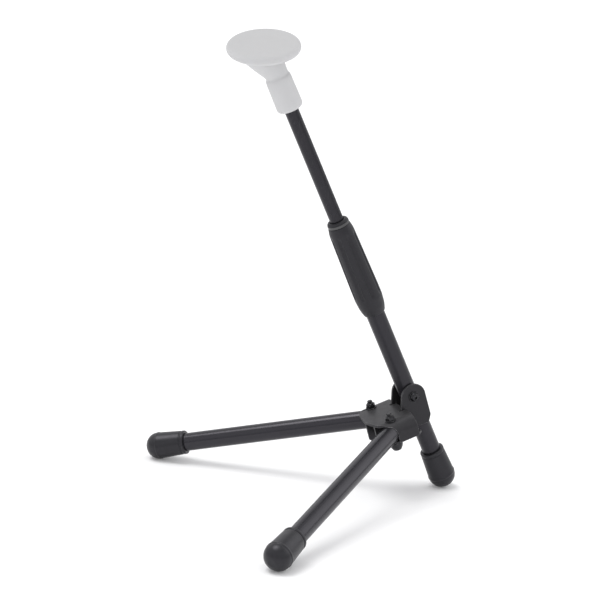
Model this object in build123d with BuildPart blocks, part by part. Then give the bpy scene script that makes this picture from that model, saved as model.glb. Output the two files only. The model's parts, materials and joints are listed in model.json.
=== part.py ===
"""Folding in-bell saxophone stand, built as separate pieces.

Two front legs turn on bolts under a tilted steel hub. The post leans forward
through a clevis at the back of the hub, and its lower end is the rear foot. A thin
rod slides in the post, a twist grip locks it, and a soft peg on top carries the horn.

X is across the stand, -Y is the side that the legs and the post point to, and +Z
is up. The origin is on the floor, under the middle of the footprint. All sizes are
in millimetres.
"""
import os
from math import asin, cos, degrees, radians, sin, sqrt

from build123d import *

# ---- stance -------------------------------------------------------------------
leg_length = 275.0          # pivot bolt to the centre of the foot's dome
leg_spread = 37.0           # each leg from the middle line, in the hub's plane
leg_pivot_height = 83.8     # leg axis above the floor at the bolt
leg_end_gap = 0.7           # between a leg's rounded inner end and the cheek
post_lean = 26.0            # post axis from the vertical
clevis_back = 39.9          # clevis bolt behind the leg bolts, along the hub plate
clevis_rise = 25.0          # clevis bolt above the leg axes, square to the hub plate

# ---- tubes --------------------------------------------------------------------
tube_radius = 11.0          # legs and post
tube_wall = 1.2
plug_length = 18.0          # nylon blocks that the bolts go through
rod_radius = 8.0
rod_wall = 1.2
moving_gap = 0.3            # between parts that pass each other
running_gap = 0.05          # radial, between a shaft and its bore

# ---- rubber feet ----------------------------------------------------------------
foot_wall = 5.5             # rubber round the tube at the dome, which touches the floor
foot_collar_wall = 3.4      # rubber round the tube behind the lip
foot_grip = 35.0            # dome centre to the open end
foot_lip = 3.0              # rounded lip at the open end
tube_past_dome = 3.0        # tube end beyond the dome's centre

# ---- hub ------------------------------------------------------------------------
cover_sheet = 3.0
cover_back = 26.0           # rear edge behind the leg bolts
cover_front = 22.6          # front lip ahead of the leg bolts, at the middle
cover_shoulder = 16.8       # front lip at its ends
cover_corner = 10.0         # outer corner ahead of the leg bolts
cover_wall_drop = 10.3      # side wall below the leg axes
cover_flare = 7.5           # outer corner beyond the leg bolts, to the side
cover_corner_round = 3.0
cheek_sheet = 3.0
ear_radius = 15.5
ear_front = 18.6            # foot of the ear's front edge
cheek_tail = 12.7           # rear corner rounding's centre behind the clevis bolt
cheek_nose = 17.0           # cheek's front edge ahead of the leg bolts
cheek_nose_drop = 20.0
cheek_tail_drop = 12.6
cheek_corner = 3.2
base_sheet = 2.5
base_side = 8.0             # base plate beyond the leg bolts, to the side
base_front = 8.0            # and ahead of them
base_corner_cut = 6.0
sheet_gap = 0.1             # between plates where one stands in another's cut

# ---- bolts ----------------------------------------------------------------------
leg_bolt_radius = 3.0
leg_bolt_head_radius = 8.0
leg_bolt_head = 9.5
leg_bolt_dome = 3.2         # height of the head's dome
leg_bolt_dome_radius = 6.0  # flat end of the dome
leg_nut_flats = 10.0
leg_nut = 5.2
leg_bolt_end = 3.0          # thread standing above the nut
washer_radius = 6.4
washer_sheet = 1.2
post_bolt_radius = 4.0
post_bolt_head_radius = 5.6
post_bolt_head = 3.8
post_bolt_dome = 1.9
post_bolt_dome_radius = 3.9
post_bolt_socket_flats = 5.0
post_washer_radius = 6.6
post_nut_flats = 13.0
post_nut = 6.5
post_bolt_end = 2.0
bolt_hole_play = 0.25
thread_play = 0.02

# ---- clutch: heights up from the post's top, walls out from the post's surface -----
post_top = 200.0            # post's top above the clevis bolt
grip_bottom = -87.0
grip_waist = -79.0
grip_belly = -59.0
grip_shoulder = 21.0
grip_top = 28.8
grip_bottom_wall = 1.6
grip_waist_wall = 4.0
grip_belly_wall = 5.4
grip_shoulder_wall = 3.6
grip_top_wall = 1.9
grip_top_skin = 1.0         # rubber round the core's upper end
grip_flutes = 8
flute_radius = 3.2
flute_depth = 0.9
flute_bottom = -64.0
core_wall = 0.75            # over the thread sleeve
core_bottom = -82.0
core_top = 26.0
thread_sleeve_wall = 1.4
thread_sleeve_length = 30.0
collet_inset = 0.4          # collet's skirt in from the post's surface
collet_slots = 4
collet_slot_width = 1.6
collet_slot_length = 23.3
ring_wall = 1.7
ring_height = 3.0
cap_wall = 1.3
cap_height = 3.2

# ---- sliding rod ------------------------------------------------------------------
rod_length = 284.0
rod_in_post = 50.0          # rod's lower end below the post's top
guide_length = 14.0
guide_end = 2.0             # guide bush below the rod
guide_chamfer = 1.0
plug_head = 1.5             # plug's head on the rod's upper end

# ---- peg: heights up from the rod's top ---------------------------------------------
peg_bottom = -57.6
sleeve_bottom_radius = 15.0
sleeve_top_radius = 14.6
sleeve_top = -19.0
sleeve_edge = 4.5
neck_radius = 13.0
neck_height = -17.0
neck_overlap = 2.0          # sleeve's cone inside the neck
disc_height = 23.0          # centre of the disc's upper face
disc_tilt = 21.8            # disc from square to the rod
disc_radius = 41.3
disc_thickness = 10.0
disc_edge = 4.5
flare_radius = 27.0         # where the neck runs out under the disc
flare_offset = 9.0          # towards the disc's far side
peg_turn = 47.9             # peg turned about the rod, towards +X
socket_wall = 2.4
socket_bottom = -55.5
socket_roof = 3.0

# ---- sizes that follow from the tubes ---------------------------------------------
bore_radius = tube_radius - tube_wall
foot_radius = tube_radius + foot_wall
foot_collar_radius = tube_radius + foot_collar_wall
cheek_inner = tube_radius + moving_gap
cheek_outer = cheek_inner + cheek_sheet
half_spacing = cheek_outer + leg_end_gap + tube_radius
collet_radius = tube_radius - collet_inset
ring_low = grip_top + moving_gap

# ---- planes worked out from the stance -------------------------------------------
leg_drop = leg_pivot_height - foot_radius
hub_tilt = degrees(asin(leg_drop / (leg_length * cos(radians(leg_spread)))))
tilt_sin = sin(radians(hub_tilt))
tilt_cos = cos(radians(hub_tilt))
lean_sin = sin(radians(post_lean))
lean_cos = cos(radians(post_lean))

clevis_y = clevis_back * tilt_cos - clevis_rise * tilt_sin
clevis_z = leg_pivot_height + clevis_back * tilt_sin + clevis_rise * tilt_cos
# The rear foot reaches the floor: the clevis bolt is as high as the tail asks.
tail_length = (clevis_z - foot_radius) / lean_cos
front_reach = leg_length * cos(radians(leg_spread)) * tilt_cos + foot_radius
rear_reach = clevis_y + tail_length * lean_sin + foot_radius
leg_pivot_y = (front_reach - rear_reach) / 2

hub = Plane(
    origin=(0, leg_pivot_y, leg_pivot_height),
    x_dir=(1, 0, 0),
    z_dir=(0, -tilt_sin, tilt_cos),
)
post = Plane(
    origin=(0, leg_pivot_y + clevis_y, clevis_z),
    x_dir=(1, 0, 0),
    z_dir=(0, -lean_sin, lean_cos),
)
clutch = post.offset(post_top)
rod_foot = clutch.offset(-rod_in_post)
rod_end = rod_foot.offset(rod_length)


def moved_along(base, height):
    """The base plane, moved along its own Z axis."""
    return base.offset(height)


def side_of(base):
    """The plane that holds a turned outline: X is the radius, Y runs along the axis."""
    return Plane(origin=base.origin, x_dir=base.x_dir, z_dir=base.x_dir.cross(base.z_dir))


def turn(base, outline, mode=Mode.ADD):
    """Turn a closed outline of (radius, height) corners about the base's Z axis."""
    with BuildSketch(side_of(base)) as section:
        with BuildLine():
            Polyline(*outline, close=True)
        make_face()
    revolve(section.sketch, axis=Axis(base.origin, base.z_dir), mode=mode)


def ring(base, inner, outer, low, high, mode=Mode.ADD):
    """A plain tube about the base's Z axis, from one height to another."""
    turn(base, [(inner, low), (outer, low), (outer, high), (inner, high)], mode)


def rod(base, radius, low, high, mode=Mode.ADD):
    """A solid cylinder about the base's Z axis, from one height to another."""
    with BuildSketch(moved_along(base, low)) as section:
        Circle(radius)
    extrude(section.sketch, amount=high - low, mode=mode)


def save(piece, name):
    """Name the finished piece and write it."""
    piece.part.label = name
    export_step(piece.part, f"parts/{name}.step")


def leg_frame(side):
    """A leg's own plane at its bolt: Z out along the leg, X square to the hub plate."""
    turn_out = radians(leg_spread)
    direction = hub.x_dir * (side * sin(turn_out)) - hub.y_dir * cos(turn_out)
    origin = hub.origin + hub.x_dir * (side * half_spacing)
    return Plane(origin=origin, x_dir=hub.z_dir, z_dir=direction)


def bolt_frame(side):
    """The plane of a leg's pivot bolt: Z up along the bolt."""
    return Plane(origin=hub.origin + hub.x_dir * (side * half_spacing), x_dir=hub.x_dir, z_dir=hub.z_dir)


def clevis_frame():
    """The plane of the clevis bolt: Z along +X, across the hub."""
    return Plane(origin=post.origin, x_dir=hub.y_dir, z_dir=(1, 0, 0))


def foot_cap(base, dome_height):
    """A rubber foot on a tube that runs down base's Z axis to the dome's centre."""
    open_end = dome_height - foot_grip
    tube_end = dome_height + tube_past_dome
    with BuildSketch(side_of(base)) as section:
        with BuildLine():
            Polyline(
                (0, tube_end),
                (tube_radius, tube_end),
                (tube_radius, open_end),
                (foot_collar_radius - foot_lip / 3, open_end),
                (foot_collar_radius, open_end + foot_lip / 2),
                (foot_collar_radius, open_end + foot_lip),
                (foot_radius, dome_height),
            )
            ThreePointArc(
                (foot_radius, dome_height),
                (foot_radius * sqrt(0.5), dome_height + foot_radius * sqrt(0.5)),
                (0, dome_height + foot_radius),
            )
            Line((0, dome_height + foot_radius), (0, tube_end))
        make_face()
    revolve(section.sketch, axis=Axis(base.origin, base.z_dir))


# ---- hub: cover, cheeks and base plate --------------------------------------------
cover_under = tube_radius + moving_gap
cover_upper = cover_under + cover_sheet
wall_inner = half_spacing + cover_under
wall_outer = wall_inner + cover_sheet
base_upper = -cover_under
base_lower = base_upper - base_sheet
# The post rests against the base plate's rear edge.
lean_in_hub = radians(post_lean - hub_tilt)
base_back = (
    clevis_back
    + (clevis_rise - base_upper) * sin(lean_in_hub) / cos(lean_in_hub)
    - (tube_radius + moving_gap) / cos(lean_in_hub)
)


def cover_section(inset):
    """Half-round sided channel, drawn across the hub: wall, bend, top, bend, wall."""
    top = cover_upper - inset
    half = wall_outer - inset
    bend = cover_upper - inset
    with BuildLine() as outline:
        Line((half, -cover_wall_drop), (half, 0))
        RadiusArc((half, 0), (half - bend, top), -bend)
        Line((half - bend, top), (bend - half, top))
        RadiusArc((bend - half, top), (-half, 0), -bend)
        Line((-half, 0), (-half, -cover_wall_drop))
        Line((-half, -cover_wall_drop), (half, -cover_wall_drop))
    make_face(outline.edges())


def build_hub_cover():
    """Top plate with sides rolled down round the legs."""
    across = Plane(origin=hub.origin + hub.y_dir * cover_back, x_dir=hub.x_dir, z_dir=-hub.y_dir)
    flare = half_spacing + cover_flare
    with BuildPart() as cover:
        with BuildSketch(across):
            cover_section(0)
        extrude(amount=cover_back + cover_front)
        with BuildSketch(across):
            cover_section(cover_sheet)
        extrude(amount=cover_back + cover_front, mode=Mode.SUBTRACT)
        with BuildSketch(moved_along(hub, -cover_wall_drop)) as plan:
            with BuildLine():
                Line((flare, -cover_corner), (wall_outer, 0))
                Line((wall_outer, 0), (wall_outer, cover_back))
                Line((wall_outer, cover_back), (-wall_outer, cover_back))
                Line((-wall_outer, cover_back), (-wall_outer, 0))
                Line((-wall_outer, 0), (-flare, -cover_corner))
                Line((-flare, -cover_corner), (-half_spacing, -cover_shoulder))
                ThreePointArc(
                    (-half_spacing, -cover_shoulder),
                    (0, -cover_front),
                    (half_spacing, -cover_shoulder),
                )
                Line((half_spacing, -cover_shoulder), (flare, -cover_corner))
            make_face()
            outer_corners, side_ends = plan.vertices().group_by(Axis.Y)[1:3]
            fillet(outer_corners + side_ends, cover_corner_round)
        extrude(amount=cover_wall_drop + cover_upper, mode=Mode.INTERSECT)
        for side in (-1, 1):
            leg = leg_frame(side)
            with BuildSketch(leg):
                Circle(cover_under)
                with Locations((-cover_wall_drop, 0)):
                    Rectangle(2 * cover_wall_drop, 2 * cover_under)
            extrude(amount=2 * wall_outer, mode=Mode.SUBTRACT)
            swing_reach = 2 * cover_front
            sideways = side * swing_reach * sin(radians(leg_spread))
            with BuildSketch(moved_along(bolt_frame(side), -cover_wall_drop)) as sweep:
                with BuildLine():
                    Polyline(
                        (0, 0),
                        (0, -swing_reach),
                        (sideways, -swing_reach * cos(radians(leg_spread))),
                        close=True,
                    )
                make_face()
            extrude(sweep.sketch, amount=cover_wall_drop + cover_under, mode=Mode.SUBTRACT)
        slot_front = ear_front - sheet_gap
        slot_length = cover_back - slot_front + cheek_corner
        slot_middle = slot_front + slot_length / 2
        cheek_middle = (cheek_inner + cheek_outer) / 2
        with BuildSketch(moved_along(hub, cover_under)):
            with Locations((-cheek_middle, slot_middle), (cheek_middle, slot_middle)):
                Rectangle(cheek_sheet + 2 * sheet_gap, slot_length)
        extrude(amount=cover_sheet, mode=Mode.SUBTRACT)
        with BuildSketch(hub):
            with Locations((-half_spacing, 0), (half_spacing, 0)):
                Circle(leg_bolt_radius + bolt_hole_play)
        extrude(amount=cover_upper, mode=Mode.SUBTRACT)
    save(cover, "hub_cover")


def build_cheek(side, name):
    """Upright plate beside the post: a deep nose in front, an ear for the bolt behind."""
    inner_face = side * cheek_inner
    origin = hub.origin + hub.x_dir * inner_face
    face = Plane(origin=origin, x_dir=hub.y_dir, z_dir=(1, 0, 0))
    nose_back = base_front + moving_gap
    with BuildPart() as cheek:
        with BuildSketch(face):
            with Locations((clevis_back, clevis_rise)):
                Circle(ear_radius)
            with Locations(
                (ear_front + cheek_corner, cover_under - cheek_corner),
                (clevis_back + cheek_tail, -cheek_corner),
                (clevis_back + cheek_tail - cheek_corner, cheek_corner - cheek_tail_drop),
                (base_back + 2 * cheek_corner, cheek_corner - cheek_tail_drop),
            ):
                Circle(cheek_corner)
            make_hull()
            below_base = base_back + 2 * cheek_corner
            with BuildLine():
                Polyline(
                    (-cheek_nose, cover_under - sheet_gap),
                    (ear_front, cover_under - sheet_gap),
                    (clevis_back, cover_under),
                    (below_base, base_upper + sheet_gap),
                    (-nose_back, base_upper + sheet_gap),
                    (-nose_back, -cheek_nose_drop),
                    (-cheek_nose + cheek_corner, -cheek_nose_drop),
                    (-cheek_nose, cheek_corner - cheek_nose_drop),
                    close=True,
                )
            make_face()
        extrude(amount=side * cheek_sheet)
        with BuildSketch(face):
            with Locations((clevis_back, clevis_rise)):
                Circle(post_bolt_radius + bolt_hole_play)
        extrude(amount=side * cheek_sheet, mode=Mode.SUBTRACT)
        with BuildSketch(face):
            with Locations(((base_back + sheet_gap - nose_back) / 2, base_upper + sheet_gap - base_sheet)):
                Rectangle(base_back + sheet_gap + nose_back, 2 * base_sheet)
        extrude(amount=side * cheek_sheet, mode=Mode.SUBTRACT)
    save(cheek, name)


def build_base_plate():
    """Lower plate under the legs; its rear edge is the post's stop."""
    with BuildPart() as base:
        with BuildSketch(moved_along(hub, base_lower)) as outline:
            with Locations((0, (base_back - base_front) / 2)):
                Rectangle(2 * (half_spacing + base_side), base_back + base_front)
            chamfer(outline.vertices(), base_corner_cut)
            with Locations((-half_spacing, 0), (half_spacing, 0)):
                Circle(leg_bolt_radius + bolt_hole_play, mode=Mode.SUBTRACT)
        extrude(amount=base_sheet)
    save(base, "base_plate")


# ---- bolts, nuts and washers --------------------------------------------------------
def build_leg_bolts():
    """Two pivot bolts, dome heads below and threads standing above the nuts."""
    nut_seat = cover_upper + washer_sheet
    bolt_top = nut_seat + leg_nut + leg_bolt_end
    with BuildPart() as bolts:
        for side in (-1, 1):
            bolt = bolt_frame(side)
            rod(bolt, leg_bolt_radius, base_lower - leg_bolt_head / 2, bolt_top)
            head_low = base_lower - leg_bolt_head
            turn(
                bolt,
                [
                    (0, base_lower),
                    (leg_bolt_head_radius, base_lower),
                    (leg_bolt_head_radius, head_low + leg_bolt_dome),
                    (leg_bolt_dome_radius, head_low),
                    (0, head_low),
                ],
            )
    save(bolts, "leg_pivot_bolts")


def build_leg_washers():
    """Flat washers between the cover and the nuts."""
    with BuildPart() as washers:
        for side in (-1, 1):
            bolt = bolt_frame(side)
            hole = leg_bolt_radius + bolt_hole_play
            ring(bolt, hole, washer_radius, cover_upper, cover_upper + washer_sheet)
    save(washers, "leg_pivot_washers")


def build_leg_nuts():
    """Hexagon lock nuts on top of the cover."""
    seat = cover_upper + washer_sheet
    with BuildPart() as nuts:
        for side in (-1, 1):
            with BuildSketch(moved_along(bolt_frame(side), seat)):
                RegularPolygon(radius=leg_nut_flats / 2, side_count=6, major_radius=False)
                Circle(leg_bolt_radius + thread_play, mode=Mode.SUBTRACT)
            extrude(amount=leg_nut)
    save(nuts, "leg_pivot_nuts")


def build_post_bolt():
    """Clevis bolt with a low dome head on the +X side."""
    bolt = clevis_frame()
    head_seat = cheek_outer + washer_sheet
    low = -head_seat - post_nut - post_bolt_end
    with BuildPart() as clevis_bolt:
        rod(bolt, post_bolt_radius, low, head_seat)
        turn(
            bolt,
            [
                (0, head_seat),
                (post_bolt_head_radius, head_seat),
                (post_bolt_head_radius, head_seat + post_bolt_head - post_bolt_dome),
                (post_bolt_dome_radius, head_seat + post_bolt_head),
                (0, head_seat + post_bolt_head),
            ],
        )
        with BuildSketch(moved_along(bolt, head_seat + post_bolt_head)):
            RegularPolygon(radius=post_bolt_socket_flats / 2, side_count=6, major_radius=False)
        extrude(amount=-post_bolt_head / 2, mode=Mode.SUBTRACT)
    save(clevis_bolt, "post_pivot_bolt")


def build_post_nut():
    """Lock nut on the -X side of the clevis."""
    seat = -cheek_outer - washer_sheet
    with BuildPart() as nut:
        with BuildSketch(moved_along(clevis_frame(), seat)):
            RegularPolygon(radius=post_nut_flats / 2, side_count=6, major_radius=False)
            Circle(post_bolt_radius + thread_play, mode=Mode.SUBTRACT)
        extrude(amount=-post_nut)
    save(nut, "post_pivot_nut")


def build_post_washers():
    """A washer under the head and one under the nut."""
    bolt = clevis_frame()
    hole = post_bolt_radius + bolt_hole_play
    with BuildPart() as washers:
        ring(bolt, hole, post_washer_radius, cheek_outer, cheek_outer + washer_sheet)
        ring(bolt, hole, post_washer_radius, -cheek_outer - washer_sheet, -cheek_outer)
    save(washers, "post_pivot_washers")


# ---- legs -----------------------------------------------------------------------------
def trim_leg_end(side):
    """Round the inner end of a leg piece about its bolt, so that it can swing."""
    bolt = bolt_frame(side)
    leg = leg_frame(side)
    with BuildPart(mode=Mode.PRIVATE) as waste:
        with BuildSketch(leg):
            Rectangle(4 * tube_radius, 4 * tube_radius)
        extrude(amount=-2 * tube_radius)
        rod(bolt, tube_radius, -2 * tube_radius, 2 * tube_radius, Mode.SUBTRACT)
    add(waste.part, mode=Mode.SUBTRACT)


def build_leg(side, word):
    """One leg: the tube, the plug that its bolt goes through, and the rubber foot."""
    leg = leg_frame(side)
    bolt = bolt_frame(side)
    bolt_reach = tube_radius + moving_gap
    with BuildPart() as tube:
        ring(leg, bore_radius, tube_radius, -tube_radius, leg_length + tube_past_dome)
        trim_leg_end(side)
        rod(bolt, leg_bolt_radius + bolt_hole_play, -bolt_reach, bolt_reach, Mode.SUBTRACT)
    save(tube, f"leg_{word}_tube")
    with BuildPart() as plug:
        rod(leg, bore_radius, -tube_radius, plug_length)
        trim_leg_end(side)
        rod(bolt, leg_bolt_radius + running_gap, -bolt_reach, bolt_reach, Mode.SUBTRACT)
    save(plug, f"leg_{word}_plug")
    with BuildPart() as cap:
        foot_cap(leg, leg_length)
    save(cap, f"leg_{word}_foot")


# ---- post -----------------------------------------------------------------------------
def build_post_tube():
    """Straight tube from the rear foot, through the clevis, up into the grip."""
    bolt = clevis_frame()
    with BuildPart() as tube:
        ring(post, bore_radius, tube_radius, -tail_length - tube_past_dome, post_top)
        rod(bolt, post_bolt_radius + bolt_hole_play, -cheek_inner, cheek_inner, Mode.SUBTRACT)
    save(tube, "post_tube")


def build_post_bush():
    """Nylon block inside the post that keeps the clevis bolt from crushing it."""
    bolt = clevis_frame()
    with BuildPart() as bush:
        rod(post, bore_radius, -plug_length / 2, plug_length / 2)
        rod(bolt, post_bolt_radius + running_gap, -cheek_inner, cheek_inner, Mode.SUBTRACT)
    save(bush, "post_pivot_bush")


def build_rear_foot():
    """Rubber foot on the post's lower end."""
    down = Plane(origin=post.origin, x_dir=post.x_dir, z_dir=-post.z_dir)
    with BuildPart() as cap:
        foot_cap(down, tail_length)
    save(cap, "rear_foot")


thread_sleeve_radius = tube_radius + thread_sleeve_wall


def build_clutch_fixed():
    """Pieces of the twist lock that stay on the post."""
    with BuildPart() as sleeve:
        ring(clutch, tube_radius, thread_sleeve_radius, -thread_sleeve_length, 0)
    save(sleeve, "thread_sleeve")
    bore = rod_radius + running_gap
    ring_radius = tube_radius + ring_wall
    ring_top = ring_low + ring_height
    with BuildPart() as collet:
        turn(
            clutch,
            [
                (bore, 0),
                (collet_radius, 0),
                (collet_radius, ring_low),
                (ring_radius, ring_low),
                (ring_radius, ring_top),
                (bore, ring_top),
            ],
        )
        with BuildSketch(clutch):
            with PolarLocations(collet_radius, collet_slots):
                Rectangle(collet_radius, collet_slot_width)
        extrude(amount=collet_slot_length, mode=Mode.SUBTRACT)
    save(collet, "collet")
    cap_bore = rod_radius + moving_gap
    cap_radius = tube_radius + cap_wall
    with BuildPart() as cap:
        turn(
            clutch,
            [
                (cap_bore, ring_top),
                (cap_radius, ring_top),
                (cap_radius, ring_top + cap_height / 2),
                (cap_radius - cap_height / 2, ring_top + cap_height),
                (cap_bore, ring_top + cap_height),
            ],
        )
    save(cap, "collet_cap")


def build_grip():
    """Twist grip: a hard core that works the collet, and the fluted rubber over it."""
    post_bore = tube_radius + moving_gap
    sleeve_bore = thread_sleeve_radius + running_gap
    sleeve_low = -thread_sleeve_length - 2 * moving_gap
    sleeve_high = 2 * moving_gap
    collet_bore = collet_radius + moving_gap
    core_radius = sleeve_bore + core_wall
    core_neck_radius = tube_radius + grip_top_wall - grip_top_skin
    core_shoulder = core_top - core_radius + core_neck_radius
    with BuildPart() as core:
        turn(
            clutch,
            [
                (post_bore, core_bottom),
                (core_radius, core_bottom),
                (core_radius, core_shoulder),
                (core_neck_radius, core_top),
                (collet_bore, core_top),
                (collet_bore, sleeve_high),
                (sleeve_bore, sleeve_high),
                (sleeve_bore, sleeve_low),
                (post_bore, sleeve_low),
            ],
        )
    save(core, "grip_core")
    belly_radius = tube_radius + grip_belly_wall
    shoulder_radius = tube_radius + grip_shoulder_wall
    with BuildPart() as grip:
        turn(
            clutch,
            [
                (post_bore, grip_bottom),
                (tube_radius + grip_bottom_wall, grip_bottom),
                (tube_radius + grip_waist_wall, grip_waist),
                (belly_radius, grip_belly),
                (shoulder_radius, grip_shoulder),
                (tube_radius + grip_top_wall, grip_top),
                (collet_bore, grip_top),
                (collet_bore, core_top),
                (core_neck_radius, core_top),
                (core_radius, core_shoulder),
                (core_radius, core_bottom),
                (post_bore, core_bottom),
            ],
        )
        flute_circle = (belly_radius + shoulder_radius) / 2 + flute_radius - flute_depth
        with BuildSketch(moved_along(clutch, flute_bottom)):
            with PolarLocations(flute_circle, grip_flutes):
                Circle(flute_radius)
        extrude(amount=grip_shoulder - flute_bottom, mode=Mode.SUBTRACT)
    save(grip, "clutch_grip")


# ---- sliding rod ------------------------------------------------------------------------
def build_rod():
    """Inner tube with a guide bush at its foot and a plug in its top."""
    rod_bore = rod_radius - rod_wall
    with BuildPart() as upper_rod:
        ring(rod_foot, rod_bore, rod_radius, 0, rod_length)
    save(upper_rod, "upper_rod")
    guide_outer = bore_radius - running_gap
    with BuildPart() as guide:
        turn(
            rod_foot,
            [
                (0, -guide_end),
                (guide_outer - guide_chamfer, -guide_end),
                (guide_outer, guide_chamfer - guide_end),
                (guide_outer, guide_length),
                (rod_radius, guide_length),
                (rod_radius, 0),
                (0, 0),
            ],
        )
    save(guide, "rod_guide")
    with BuildPart() as plug:
        turn(
            rod_end,
            [
                (0, -guide_length),
                (rod_bore, -guide_length),
                (rod_bore, 0),
                (rod_radius, 0),
                (rod_radius, plug_head),
                (0, plug_head),
            ],
        )
    save(plug, "rod_plug")


# ---- peg --------------------------------------------------------------------------------
def disc_plane():
    """The disc's upper face: nearly level before the peg is turned about the rod."""
    centre = rod_end.origin + post.z_dir * disc_height
    swing = Axis(centre, post.z_dir)
    forward = radians(post_lean - disc_tilt)
    normal = Vector(0, -sin(forward), cos(forward)).rotate(swing, -peg_turn)
    across = Vector(1, 0, 0).rotate(swing, -peg_turn)
    return Plane(origin=centre, x_dir=across, z_dir=normal)


def build_peg():
    """Soft peg: round disc, flared neck and sleeve, over a hard socket on the rod."""
    socket_bore = rod_radius + running_gap
    socket_radius = socket_bore + socket_wall
    roof_low = plug_head + running_gap
    roof_top = roof_low + socket_roof
    upper_face = disc_plane()
    lower_face = upper_face.offset(-disc_thickness)
    with BuildPart() as peg:
        with BuildSketch(lower_face):
            Circle(disc_radius)
        extrude(amount=disc_thickness)
        fillet(peg.edges(), disc_edge)
        with BuildSketch(moved_along(rod_end, neck_height)):
            Circle(neck_radius)
        with BuildSketch(lower_face.offset(disc_thickness / 3)):
            with Locations((0, -flare_offset)):
                Circle(flare_radius)
        loft(ruled=True)
        with BuildPart(mode=Mode.PRIVATE) as sleeve:
            turn(
                rod_end,
                [
                    (0, peg_bottom),
                    (sleeve_bottom_radius, peg_bottom),
                    (sleeve_top_radius, sleeve_top),
                    (neck_radius, neck_height + neck_overlap),
                    (0, neck_height + neck_overlap),
                ],
            )
            fillet(sleeve.edges().filter_by(GeomType.CIRCLE).sort_by(Axis.Z)[:2], sleeve_edge)
        add(sleeve.part)
        rod(rod_end, socket_radius, socket_bottom, roof_top, Mode.SUBTRACT)
        rod(rod_end, rod_radius + moving_gap, peg_bottom, socket_bottom, Mode.SUBTRACT)
    save(peg, "peg")
    with BuildPart() as socket:
        turn(
            rod_end,
            [
                (socket_bore, socket_bottom),
                (socket_radius, socket_bottom),
                (socket_radius, roof_top),
                (0, roof_top),
                (0, roof_low),
                (socket_bore, roof_low),
            ],
        )
    save(socket, "peg_socket")
    return upper_face


os.makedirs("parts", exist_ok=True)
build_hub_cover()
build_cheek(-1, "cheek_left")
build_cheek(1, "cheek_right")
build_base_plate()
build_leg_bolts()
build_leg_washers()
build_leg_nuts()
build_post_bolt()
build_post_nut()
build_post_washers()
build_leg(-1, "left")
build_leg(1, "right")
build_post_tube()
build_post_bush()
build_rear_foot()
build_clutch_fixed()
build_grip()
build_rod()
rest_face = build_peg()

print("hub tilt", round(hub_tilt, 3), "tail", round(tail_length, 3))
print("hub origin", hub.origin, "normal", hub.z_dir)
print("clevis", post.origin, "axis", post.z_dir)
print("disc centre", rest_face.origin, "normal", rest_face.z_dir)
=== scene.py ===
"""Looks for a folding saxophone stand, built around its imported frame.

Run as a script, it loads the frame, makes each visible piece in place of or on top of
the frame's nodes, gives every surface its finish, and sets up the floor, lights and camera.
"""

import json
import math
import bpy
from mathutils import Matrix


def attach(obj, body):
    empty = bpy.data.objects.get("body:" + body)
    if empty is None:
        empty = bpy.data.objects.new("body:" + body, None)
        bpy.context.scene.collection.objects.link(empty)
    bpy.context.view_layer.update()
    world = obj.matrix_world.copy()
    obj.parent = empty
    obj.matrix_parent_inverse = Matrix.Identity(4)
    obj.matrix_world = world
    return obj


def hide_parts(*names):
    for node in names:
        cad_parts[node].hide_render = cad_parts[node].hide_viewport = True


bl_info = {
    "name": "Saxophone Stand",
    "version": (1, 0, 0),
    "blender": (4, 5, 0),
    "location": "View3D > Sidebar > Sax Stand",
    "description": "Makes the visible pieces and finishes of a folding saxophone stand",
    "category": "Add Mesh",
}

import bmesh
import bpy
from bpy.props import FloatProperty, FloatVectorProperty, IntProperty, PointerProperty
from bpy.types import Operator, Panel, PropertyGroup
from mathutils import Matrix, Vector

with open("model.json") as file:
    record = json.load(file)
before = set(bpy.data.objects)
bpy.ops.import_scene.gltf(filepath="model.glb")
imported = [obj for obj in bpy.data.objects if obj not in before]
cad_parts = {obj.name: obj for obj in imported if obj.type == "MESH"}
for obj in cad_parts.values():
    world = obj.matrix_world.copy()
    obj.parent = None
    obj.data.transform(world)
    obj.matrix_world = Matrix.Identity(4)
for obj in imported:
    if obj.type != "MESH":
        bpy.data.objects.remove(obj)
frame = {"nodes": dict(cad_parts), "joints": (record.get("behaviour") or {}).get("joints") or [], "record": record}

MM = 0.001
FULL_TURN = 2 * math.pi
CREASE = math.radians(32)

# ---- the stand's own directions, from its joints --------------------------------
joints = {joint["name"]: joint for joint in frame["joints"]}
mounts = {mount["name"]: mount for mount in frame["record"]["mounts"]}
ACROSS = Vector((1, 0, 0))
LEFT_PIN = Vector(joints["leg_left_swing"]["pos_m"])
RIGHT_PIN = Vector(joints["leg_right_swing"]["pos_m"])
PLATE_UP = Vector(joints["leg_left_swing"]["axis"])
PLATE_BACK = PLATE_UP.cross(ACROSS)
LEG_SPREAD = math.radians(joints["leg_left_swing"]["range_deg"][1])
CLEVIS = Vector(joints["post_fold"]["pos_m"])
POST_UP = Vector(joints["rod_slide"]["axis"])
DISC_MIDDLE = Vector(mounts["rest_face"]["pos_m"])
DISC_UP = Vector(mounts["rest_face"]["axis"])


def local_frame(origin, along, side):
    """Millimetres in a local frame to metres in the row frame: Z runs along, X to the side."""
    z_dir = along.normalized()
    x_dir = (side - z_dir * side.dot(z_dir)).normalized()
    turn = Matrix((x_dir, z_dir.cross(x_dir), z_dir)).transposed().to_4x4()
    return Matrix.Translation(origin) @ turn @ Matrix.Scale(MM, 4)


def leg_direction(side):
    """The way that a leg points from its bolt; side is -1 for the left leg and 1 for the right."""
    return ACROSS * (side * math.sin(LEG_SPREAD)) - PLATE_BACK * math.cos(LEG_SPREAD)


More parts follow.
